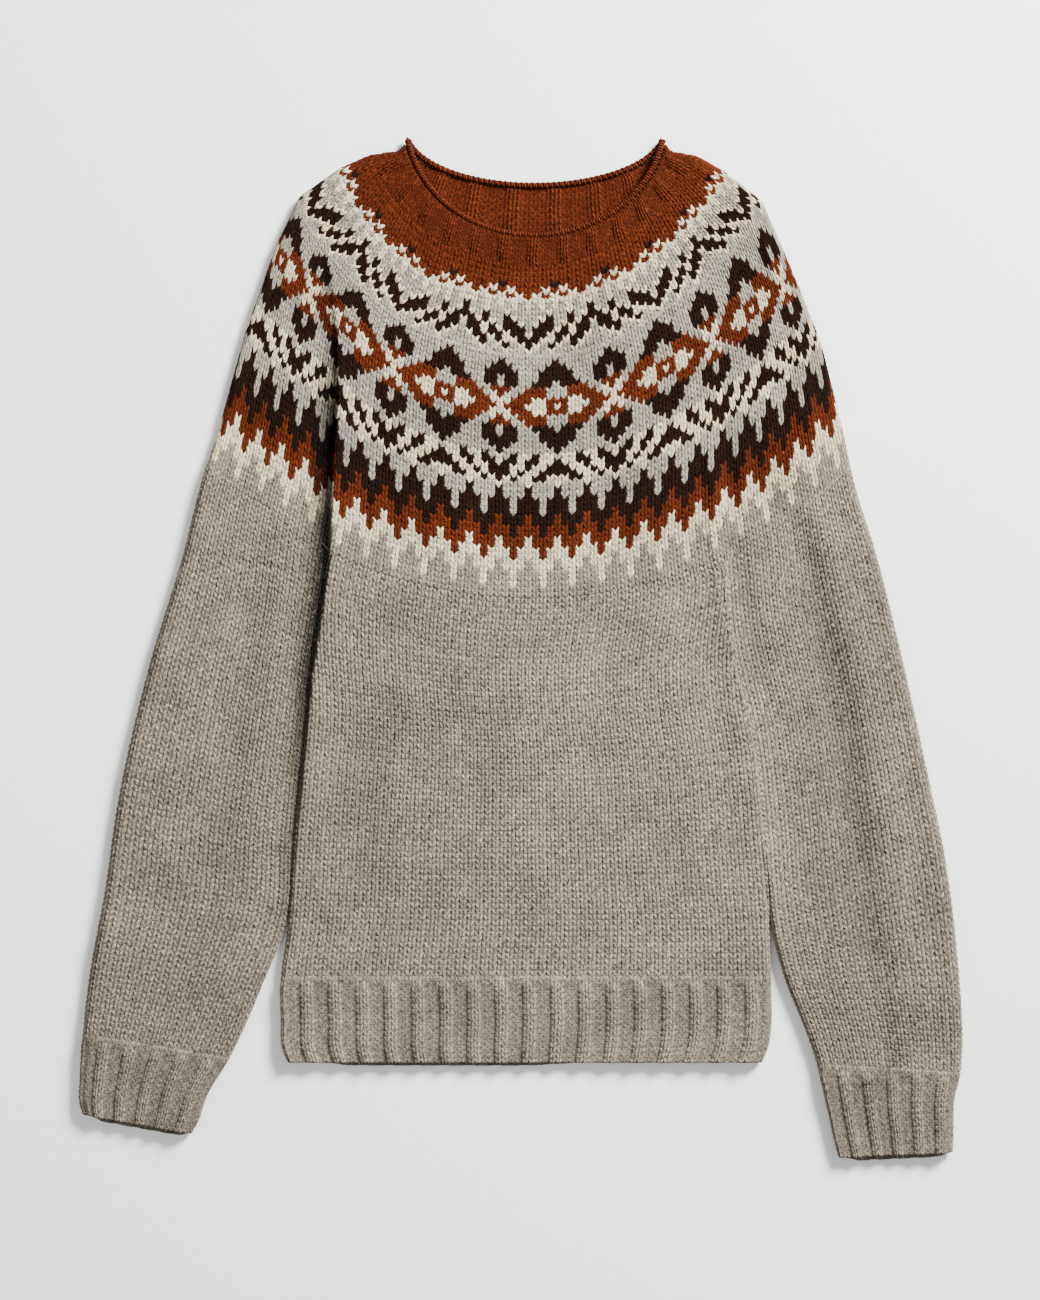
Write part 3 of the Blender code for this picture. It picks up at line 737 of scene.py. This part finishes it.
def woolMaterial(name, look):       # yarn colour of each stitch, flecks, painted groove shade, twisted plies
    book = Book(name)
    yarnAndShade = book.add("ShaderNodeAttribute", {"attribute_name": "yarnAndShade"})
    uv = book.add("ShaderNodeUVMap", {"uv_map": "stitches"})
    u = book.add("ShaderNodeSeparateXYZ", inputs={0: uv})
    v = u.part("Y")
    place = book.add("ShaderNodeTexCoord", output="Object")
    s = ((u + 0.5).call("FRACT") - 0.5).call("ABSOLUTE") * 2
    t = (v - s * stitchRise).call("FRACT")
    ridge = (s * math.pi).call("SINE").call("POWER", look["ridge"])
    away = (t - (s - 0.5) * stitchSlant).call("FRACT")
    bead = (away * math.pi).call("SINE").call("POWER", wool["beadPower"])
    knit = ridge * (bead * wool["bead"] + (1 - wool["bead"]))
    loop = ((v + s * wool["loopSlant"]).call("FRACT") * math.pi).call("SINE")
    loop = (loop * wool["loopRise"] + wool["loopLow"]) * (ridge * wool["loopRidge"] + (1 - wool["loopRidge"]))
    isKnit = yarnAndShade.part("Alpha")
    strand = knit * isKnit + loop * (1 - isKnit)
    plies = ((t * wool["plyAlong"] + s * wool["plyAcross"]) * 2 * math.pi).call("SINE")
    fuzz = book.noise(place, wool["fuzzScale"], 3.0, 0.7) - 0.5
    fleck = book.noise(place, look["fleckScale"], 3.0, 0.75)
    tuft = book.noise(uv, wool["tuftScale"], 4.0, 0.8) - 0.5
    cloud = book.noise(place, wool["cloudScale"], 5.0, 0.6) - 0.5
    marl = (fleck - 0.5) * look["marl"] + tuft * look["tuft"]
    tone = (marl + look["lift"]) * (cloud * wool["cloud"] + 1)
    # painted shade: the colour darkens in the grooves between strands and stitches
    tone = tone * (strand * look["groove"] + (1 - look["groove"])) * (fuzz * look["fuzz"] + 1)
    shaded = book.add("ShaderNodeVectorMath", {"operation": "SCALE"}, {0: yarnAndShade, "Scale": tone})
    warm = ((fleck - look["warmFrom"]) * wool["warmSlope"]).call("MINIMUM", 1.0).call("MAXIMUM", 0.0)
    mixed = book.add("ShaderNodeMix", {"data_type": "RGBA", "blend_type": "MIX"},
                     {0: warm * look["warm"], 6: shaded, 7: look["warmColour"]}, output=2)
    book.plug(mixed, book.shader.inputs["Base Color"])
    height = strand + plies * wool["plyHeight"] + fuzz * wool["fuzzHeight"]
    bump = book.add("ShaderNodeBump", inputs={"Strength": wool["bump"], "Distance": wool["bumpDepth"],
                                              "Height": height})
    book.plug(bump, book.shader.inputs["Normal"])
    book.plug(wool["roughness"], book.shader.inputs["Roughness"])
    book.plug(wool["specular"], book.shader.inputs["Specular IOR Level"])
    book.plug(wool["sheen"], book.shader.inputs["Sheen Weight"])
    book.plug(wool["sheenRoughness"], book.shader.inputs["Sheen Roughness"])
    return book.material


greyWool = woolMaterial("grey_knit", {
    "lift": 1.0, "ridge": 0.6, "fleckScale": 420.0, "marl": 1.9, "tuft": 3.0, "groove": 0.86, "fuzz": 1.2,
    "warmFrom": 0.62, "warm": 0.35, "warmColour": (0.62, 0.56, 0.47, 1)})
rustWool = woolMaterial("rust_knit", {
    "lift": 1.13, "ridge": 1.3, "fleckScale": 380.0, "marl": 1.9, "tuft": 2.8, "groove": 0.90, "fuzz": 1.1,
    "warmFrom": 0.61, "warm": 0.45, "warmColour": (0.21, 0.055, 0.013, 1)})
yokeWool = woolMaterial("yoke_knit", {
    "lift": 1.0, "ridge": 0.6, "fleckScale": 420.0, "marl": 1.1, "tuft": 1.6, "groove": 0.74, "fuzz": 0.8,
    "warmFrom": 0.66, "warm": 0.15, "warmColour": (0.5, 0.44, 0.36, 1)})
print("three wools spun")


def groundColour(letter, columns):
    return np.tile(np.array(yarns[letter]), (len(columns), 1))


def finishPiece(mesh, node, material):   # a sheet of cloth that stands for a node
    piece = bpy.data.objects.new(mesh.name, mesh)
    bpy.context.scene.collection.objects.link(piece)
    mesh.materials.append(material)
    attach(piece, "root")
    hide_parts(node)
    print(piece.name, "faces", len(mesh.polygons))


# Yoke: given as a chart, one letter of a yarn to a stitch
def seedRound(ground, seeds, phase):            # single stitches in the ground, every fourth column
    return "".join(seeds if column % 4 == phase else ground for column in range(9))


# Rounds of the lozenge band from the join up, columns 0 to 8 out from a lozenge's centre
lozengeRounds = []
for ground, seeds, phase, repeats in (("G", "C", 2, 3), ("C", "G", 0, 2), ("C", "R", 2, 2), ("R", "C", 0, 2),
                                      ("R", "D", 2, 2), ("D", "R", 0, 2), ("D", "P", 2, 3), ("P", "D", 0, 2),
                                      ("P", "C", 0, 1)):
    lozengeRounds += [seedRound(ground, seeds, phase)] * repeats
lozengeRise = ["CCDDCCDCD", "DDDCCDCDD", "DDCCDCCDD", "DCCDDCDDC", "PCCDCCDPC", "DPPPPPPPD", "DDPPPPPDD",
               "DDDPPPDDD", "DDDPPPDDP", "PDDDPPDDP", "PPRRRPPRR", "PPRRRRPCR", "RRCCRRRCC"]
lozengeRounds += lozengeRise + ["CRCCCRRRC"]
lozengeRounds += lozengeRise[5:][::-1] + ["PPPPPPPPP"]

# Dark stitches of the zigzag band: rounds for each column out from the middle of a zigzag
zigzagStart, toothStart = 43, 52
zigzagDark = {0: (0, 1), 1: (1, 2, 3), 2: (2, 3, 4), 3: (0, 3, 4, 5), 4: (1, 2), 5: (2, 3), 6: (0, 1, 4, 5),
              7: (1, 2, 3), 8: (2, 3, 4), 9: (4, 5, 6)}
toothRounds = ("CRCR", "RCRR", "DRRR", "RRRR", "RRRR", "RRRR")


def lozengeColours(columns, rounds):
    out = groundColour("G", columns)
    folded = np.abs((columns - 4 + 8) % 16 - 8)
    for number, letters in enumerate(lozengeRounds):
        for column, letter in enumerate(letters):
            out[(rounds == number) & (folded == column)] = yarns[letter]
    return out


def zigzagColours(columns, rounds):
    out = groundColour("P", columns)
    folded = np.abs((columns + 9) % 18 - 9)
    up = rounds - zigzagStart
    out[(up >= 7) & (columns % 2 == 0)] = yarns["C"]
    for letter, besides in (("C", (-1, 1)), ("D", (0,))):       # cream beside the dark, then the dark
        for column, darkRounds in zigzagDark.items():
            for dark in darkRounds:
                for beside in besides:
                    out[(up == dark + beside) & (folded == column)] = yarns[letter]
    return out


def toothColours(columns, rounds):
    out = groundColour("R", columns)
    folded = 3 - np.abs((columns + 3) % 6 - 3)
    for number, letters in enumerate(toothRounds):
        for column, letter in enumerate(letters):
            out[(rounds == toothStart + number) & (folded == column)] = yarns[letter]
    out[rounds < toothStart] = yarns["C"]
    return out


yokeKnit = {
    "relief": 1.5, "shade": 0.07, "fineShare": 0.90,
    "spread": ([-2, 5, 33, 58], [0, 0, 0.18, 0.2]),     # rounds, and how much wider stitches are in front
    "bandTuck": 0.6, "joinTuck": 0.2,
    "bands": (
        # columns, front columns, first round, last round, colours
        (192, -2, 42, lozengeColours),
        (162, 42, 52, zigzagColours),
        (120, 52, 58, toothColours),
    ),
}
patternShift = -0.6                             # columns that the pattern lies round to the left
quarterColumns = yokeKnit["bands"][0][0] / 4    # columns of the lowest band from the centre to a fold


def yokeTurn(quarter):    # columns round the loop to turns: 0 is the front centre, the folds a quarter away
    def turnOf(columns, rounds):
        wrapped = (columns + patternShift * quarter / quarterColumns + quarter) % (4 * quarter) - quarter
        isBack = wrapped > quarter
        share = np.where(isBack, 2 * quarter - wrapped, wrapped) / quarter
        spread = np.where(isBack, 0, np.interp(rounds, *yokeKnit["spread"]))
        size = np.abs(share)
        return np.sign(share) * size * (1 + spread - spread * size ** 2), isBack
    return turnOf


def bandTuck(first):      # how far the lowest round of a band is tucked in
    if first < 0:
        return lambda up: yokeKnit["joinTuck"] * smoothStep(first + 0.3 - up, 0.0, 0.3)
    return lambda up: yokeKnit["bandTuck"] * smoothStep(first - up, 0.05, 1.0)


def makeYoke():
    bpy.ops.object.select_all(action="DESELECT")
    for count, first, last, colourOf in yokeKnit["bands"]:
        quarter = count / 4
        fine = yokeKnit["fineShare"] * quarter
        mesh = knitTube({
            "name": f"yoke_{first + 2}", "panel": yokePanel, "columns": (-int(quarter), count),
            "rounds": (first - (first > 0), last), "turnOf": yokeTurn(quarter), "colourOf": colourOf,
            "relief": yokeKnit["relief"], "shade": yokeKnit["shade"], "sink": bandTuck(first),
            "detail": lambda column: abs(column) <= fine,
        })
        band = bpy.data.objects.new(mesh.name, mesh)
        bpy.context.scene.collection.objects.link(band)
        band.select_set(True)
        if first < 0:
            bpy.context.view_layer.objects.active = band
    bpy.ops.object.join()
    joined = bpy.context.view_layer.objects.active
    mesh = joined.data
    mesh.name = "yoke_knit"
    bpy.data.objects.remove(joined)
    return mesh


finishPiece(makeYoke(), "yoke", yokeWool)

# Body and sleeves: tubes knitted on below the yoke
leftSplit, rightSplit = -27.5, 26.5             # yoke columns at the two underarms
tuck = 0.7                                      # depth of the round that lies under the piece above


def greyColours(columns, rounds):
    return groundColour("G", columns)


def tubeTurn(topFolds, lowFolds, count, settle):
    # Columns of a tube below the join to turns, its fold columns moving from the join down
    def turnOf(columns, rounds):
        share = smoothStep(joinRound - rounds, 0, settle)
        left, right = [top + (low - top) * share for top, low in zip(topFolds, lowFolds)]
        middle, half = (left + right) / 2, (right - left) / 2
        wrapped = (columns + patternShift - middle + count / 2) % count - count / 2
        isBack = np.abs(wrapped) > half
        size = np.where(isBack, (count / 2 - np.abs(wrapped)) / (count / 2 - half), np.abs(wrapped) / half)
        return np.sign(wrapped) * size, isBack
    return turnOf


def ribbingTurn(front, count):                  # columns of a ribbing to turns, front of them to a fold
    back = (count - 2 * front) / 2

    def turnOf(columns, rounds):
        wrapped = (columns + front) % count - front
        isBack = wrapped > front
        return np.where(isBack, (count - front - wrapped - back) / back, wrapped / front), isBack
    return turnOf


def underRound(n):
    return lambda up: tuck * smoothStep(up, n + 0.05, n + 1.0)


def ribbing(name, panel, start, knit):          # a hem or a cuff, knitted on down from a round
    quarter = knit["stitches"] // 4
    return knitTube({
        "name": name, "panel": panel, "columns": (-quarter, knit["stitches"]),
        "rounds": (start - knit["rounds"], start + 1), "turnOf": ribbingTurn(quarter, knit["stitches"]),
        "sink": underRound(start), "relief": 1.0, "shade": 0.05, "colourOf": greyColours,
        "detail": lambda column: True, "ribs": lambda columns: ribDome(columns + 0.5, *knit["rib"]),
        "ribDepth": knit["ribDepth"], "ribRaise": 1.9, "troughShade": 0.24, "boundOff": True,
    })


bodyKnit = {"stitches": 120, "rounds": 69, "relief": 1.7, "lowFolds": (-30.5, 29.5), "settle": 26}
hemKnit = {"stitches": 144, "rounds": 15, "rib": (4, 2), "ribDepth": 2.6}
bodyPanel = levelPanel({
    "levels": bodyLevels, "turns": (leftSplit / quarterColumns, rightSplit / quarterColumns), "height": 8.2,
    "innerSides": (True, True), "splitLevel": 4, "rounds": (bodyKnit["rounds"], hemKnit["rounds"]),
    "folds": (0.7, 0.04), "laps": (-0.6, 3.0), "backEdge": (2.8, 0.05, 0.14, 0.48, 0.66),
})


def makeBody():
    quarter = bodyKnit["stitches"] // 4
    return knitTube({
        "name": "body_knit", "panel": bodyPanel, "columns": (-quarter, bodyKnit["stitches"]),
        "rounds": (joinRound - bodyKnit["rounds"], joinRound + 1),
        "turnOf": tubeTurn((leftSplit, rightSplit), bodyKnit["lowFolds"], bodyKnit["stitches"],
                           bodyKnit["settle"]),
        "sink": underRound(joinRound), "relief": bodyKnit["relief"], "shade": 0.05, "colourOf": greyColours,
        "detail": lambda column: column <= quarter,
    })


finishPiece(makeBody(), "body", greyWool)
finishPiece(ribbing("hem_knit", bodyPanel, joinRound - bodyKnit["rounds"], hemKnit), "hem_rib", greyWool)

sleeveKnit = {"rounds": 99, "relief": 1.6, "height": 8.4, "settle": 30, "halfWidth": 52, "outerFold": 1.4}
cuffKnit = {"stitches": 48, "rounds": 14, "rib": (4, 2), "ribDepth": 2.4}
arms = {
    # columns (first number and count), fold columns at the join and below, size of the folds, lap
    "left": {"levels": leftLevels, "columns": (-48, 42), "topFolds": (-48.0, leftSplit),
             "lowFolds": (-48.25, -27.25), "innerSides": (False, True), "folds": (1.5, 0.9),
             "laps": (0.0, 0.0)},
    "right": {"levels": rightLevels, "columns": (27, 44), "topFolds": (rightSplit, 48.0),
              "lowFolds": (26.25, 48.25), "innerSides": (True, False), "folds": (0.04, 1.3),
              "laps": (-3.0, 0.0)},
}


def makeArm(side, arm):   # a sleeve and its cuff
    panel = levelPanel({
        "levels": arm["levels"], "turns": [fold / quarterColumns for fold in arm["topFolds"]],
        "height": sleeveKnit["height"], "innerSides": arm["innerSides"],
        "outerReach": foldRadius * sleeveKnit["outerFold"] / sleeveKnit["halfWidth"],
        "splitLevel": 5, "rounds": (sleeveKnit["rounds"], cuffKnit["rounds"]), "folds": arm["folds"],
        "laps": arm["laps"], "backEdge": (3.6, 0.0, 0.2, 0.85, 1.0),
    })
    firstColumn, count = arm["columns"]
    lowMiddle = sum(arm["lowFolds"]) / 2
    quarter = count / 4
    start = joinRound - sleeveKnit["rounds"]
    sleeve = knitTube({
        "name": f"sleeve_{side}_knit", "panel": panel, "columns": (firstColumn, count),
        "rounds": (start, joinRound + 1),
        "turnOf": tubeTurn(arm["topFolds"], arm["lowFolds"], count, sleeveKnit["settle"]),
        "sink": underRound(joinRound), "relief": sleeveKnit["relief"], "shade": 0.05, "colourOf": greyColours,
        "detail": lambda column: (column - lowMiddle + quarter + 1) % count <= 2 * quarter + 2,
    })
    finishPiece(sleeve, f"sleeve_{side}", greyWool)
    finishPiece(ribbing(f"cuff_{side}_knit", panel, start, cuffKnit), f"cuff_{side}", greyWool)


for side, arm in arms.items():
    makeArm(side, arm)

# Neck
neckKnit = {
    "stitches": 115, "frontStitches": 33.5, "firstRound": 58, "lastRound": 64,
    "relief": 1.2, "rib": (5, 2), "ribDepth": 1.5, "ribRaise": 1.1, "troughShade": 0.24,
    "rounds": [54, 58, 64.7], "frontY": [271.5, 288.2, 311.5],      # where its rounds lie in front
    "tucks": (0.6, 0.6, 0.9),       # into the yoke, further into it, and under the roll
    "roundsBelow": 4, "roundsAbove": 2.2, "planRows": 55,       # plan that it is knitted on
}


def makeNeckband():
    first, last = neckKnit["firstRound"], neckKnit["lastRound"]
    rounds = np.linspace(first - neckKnit["roundsBelow"], last + neckKnit["roundsAbove"], neckKnit["planRows"])
    y = np.interp(rounds, neckKnit["rounds"], neckKnit["frontY"])
    deep, deeper, top = neckKnit["tucks"]

    def sink(up):
        return (deep * smoothStep(first - up, 0.05, 1.0) + deeper * smoothStep(first - up, 1.0, 2.0)
                + top * smoothStep(up, last + 0.1, last + 1.0))

    return knitTube({
        "name": "neckband_knit", "panel": ringPanel(rounds, (y - yokeStart) / rowHeight),
        "columns": (-34, neckKnit["stitches"]), "rounds": (first - 3, last + 1),
        "turnOf": ribbingTurn(neckKnit["frontStitches"], neckKnit["stitches"]), "risesFrom": first,
        "sink": sink, "relief": neckKnit["relief"], "shade": 0.05,
        "colourOf": lambda columns, rows: groundColour("R", columns),
        "detail": lambda column: True, "insideDetail": True,
        "ribs": lambda columns: ribDome(columns + 1.0, *neckKnit["rib"]), "ribDepth": neckKnit["ribDepth"],
        "ribRaise": neckKnit["ribRaise"], "troughShade": neckKnit["troughShade"],
    })


finishPiece(makeNeckband(), "neckband", rustWool)

neckRoll = {
    "stitches": 116, "pointsAlong": 5, "pointsAround": 12,
    "frontHeight": 8.6, "backHeight": 2.9,      # of its middle
    "radius": 1.7, "bulge": 0.9, "bulgePower": 0.7, "slant": 1.6, "shade": 0.08,
    "foldPower": 16,                            # more makes the front come down later
}


def makeRoll():           # the bound-off edge: a cord of slanted stitches round the neck
    count, along, around = neckRoll["stitches"], neckRoll["pointsAlong"], neckRoll["pointsAround"]
    front, back = neckRoll["frontHeight"], neckRoll["backHeight"]
    total = count * along
    positions = np.arange(total) / total * 4
    turn = np.where(positions < 2, positions - 1, 3 - positions)
    isBack = positions >= 2
    plan = ringPoints(np.full(total, (neckEdgeY - yokeStart) / rowHeight), turn, isBack)
    step = np.linalg.norm(np.roll(plan, -1, 0) - plan, axis=1)
    reach = np.concatenate([[0], np.cumsum(step)])
    blend = 0.5 * np.abs(turn) ** neckRoll["foldPower"]     # front and back meet halfway at the folds
    height = np.where(isBack, back + (front - back) * blend, front + (back - front) * blend)
    route = np.column_stack([plan, height])
    closed = np.concatenate([route, route[:1]])
    even = np.arange(total) / total * reach[-1]
    x, y, z = [np.interp(even, reach, closed[:, k]) for k in range(3)]
    ahead = np.stack([np.roll(x, -1) - np.roll(x, 1), np.roll(y, -1) - np.roll(y, 1)], -1)
    ahead /= np.linalg.norm(ahead, axis=1, keepdims=True)
    angle = np.arange(around) / around * 2 * math.pi
    stitch = np.arange(total)[:, None] / along + angle[None] / (2 * math.pi) * neckRoll["slant"]
    bulge = np.abs(np.sin(math.pi * stitch)) ** neckRoll["bulgePower"]
    radius = neckRoll["radius"] + neckRoll["bulge"] * bulge
    outX = x[:, None] + ahead[:, 1:2] * radius * np.cos(angle)
    outY = y[:, None] - ahead[:, 0:1] * radius * np.cos(angle)
    outZ = z[:, None] + radius * np.sin(angle)
    i, k = np.arange(total)[:, None], np.arange(around)[None]
    corners = ((1, 0), (1, 1), (0, 1), (0, 0))
    faces = np.stack([(i + di) % total * around + (k + dk) % around for di, dk in corners], -1).reshape(-1, 4)
    uvs = [np.stack([(i + di) / along + 0 * k, (k + dk) / 4.0 + 0 * i], -1) for di, dk in corners]
    shade = rng.normal(1.0, neckRoll["shade"], count + 1)[np.arange(len(faces)) // around // along]
    rgba = np.ones((len(faces) * 4, 4))
    rgba[:, :3] = np.repeat(np.array(yarns["R"])[None] * shade[:, None], 4, axis=0)
    verts = np.stack([outX, outY, outZ], -1).reshape(-1, 3)
    mesh = clothMesh("neck_roll_knit", verts, faces.tolist(), np.stack(uvs, 2), rgba)
    mesh.shade_smooth()
    return mesh


finishPiece(makeRoll(), "neck_roll", rustWool)

# Room
studio = {
    "floorSize": 12, "floorTone": 0.94, "floorGrain": 0.01, "grainScale": 300.0, "floorRoughness": 0.9,
    "lamps": (
        # name, place, size, power, colour
        ("key", (1.8, 1.95, 1.6), 1.0, 475, (1.0, 0.985, 0.96)),
        ("fill", (-2.0, -0.8, 2.6), 2.6, 36, (0.97, 0.985, 1.0)),
    ),
    "daylight": 0.52, "cameraHeight": 2.6, "lens": 95.0, "sensor": 36,
}


def makeFloor():
    bpy.ops.mesh.primitive_plane_add(size=studio["floorSize"])
    floor = bpy.context.object
    floor.name = "floor"
    book = Book("floor_paper")
    grain = book.noise(book.add("ShaderNodeTexCoord", output="Object"), studio["grainScale"])
    tone = (grain - 0.5) * studio["floorGrain"] + studio["floorTone"]
    colour = book.add("ShaderNodeCombineXYZ", inputs={0: tone, 1: tone, 2: tone})
    book.plug(colour, book.shader.inputs["Base Color"])
    book.plug(studio["floorRoughness"], book.shader.inputs["Roughness"])
    floor.data.materials.append(book.material)


def addLamp(name, place, size, power, colour):  # an area light that faces the sweater
    bpy.ops.object.light_add(type="AREA", location=place)
    lamp = bpy.context.object
    lamp.name = name
    lamp.data.size = size
    lamp.data.energy = power
    lamp.data.color = colour
    lamp.rotation_euler = (-Vector(place)).to_track_quat("-Z", "Y").to_euler()


makeFloor()
for lampValues in studio["lamps"]:
    addLamp(*lampValues)

world = bpy.data.worlds.new("studio")
bpy.context.scene.world = world
world.use_nodes = True
world.node_tree.nodes["Background"].inputs["Color"].default_value = (1, 1, 1, 1)
world.node_tree.nodes["Background"].inputs["Strength"].default_value = studio["daylight"]

bpy.ops.object.camera_add(location=(0, 0, studio["cameraHeight"]), rotation=(0, 0, 0))
camera = bpy.context.object
camera.name = "camera"
camera.data.sensor_width = studio["sensor"]
camera.data.sensor_fit = "AUTO"
camera.data.lens = studio["lens"]
bpy.context.scene.camera = camera
print("floor, two lamps and the camera in place")
